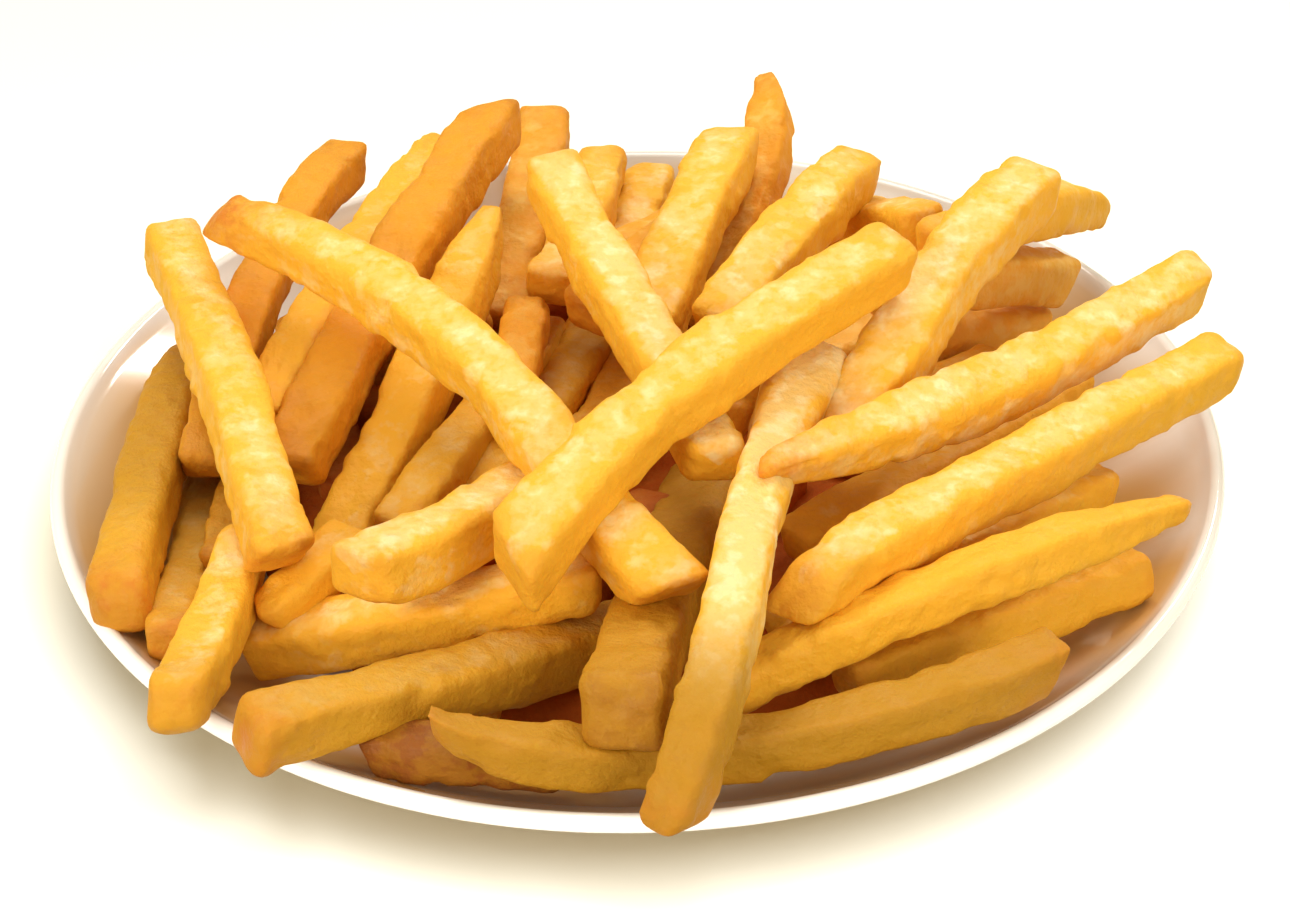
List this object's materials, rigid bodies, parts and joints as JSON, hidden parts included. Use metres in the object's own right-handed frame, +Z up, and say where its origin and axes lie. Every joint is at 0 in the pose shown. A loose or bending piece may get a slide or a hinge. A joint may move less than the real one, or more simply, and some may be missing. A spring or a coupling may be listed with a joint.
{
  "type": "french fries portion",
  "caption": "Uneven heap of thick-cut golden french fries on a round white glazed side plate with a curved-up wall and a rounded lip.",
  "frame": {"origin": "middle of the plate's flat underside, on the table", "axes": "+Z up, +X to the right and +Y to the back as the portion is served, with the long overhanging fry at -Y"},
  "size_m": [0.2013, 0.2083, 0.0693],
  "materials": {
    "plate": "glossy white glaze",
    "fries": "fried potato, pale gold to golden brown, lightly oiled"
  },
  "bodies": {
    "root": {"plate": "plate", "fries": "fries"}
  },
  "joints": []
}
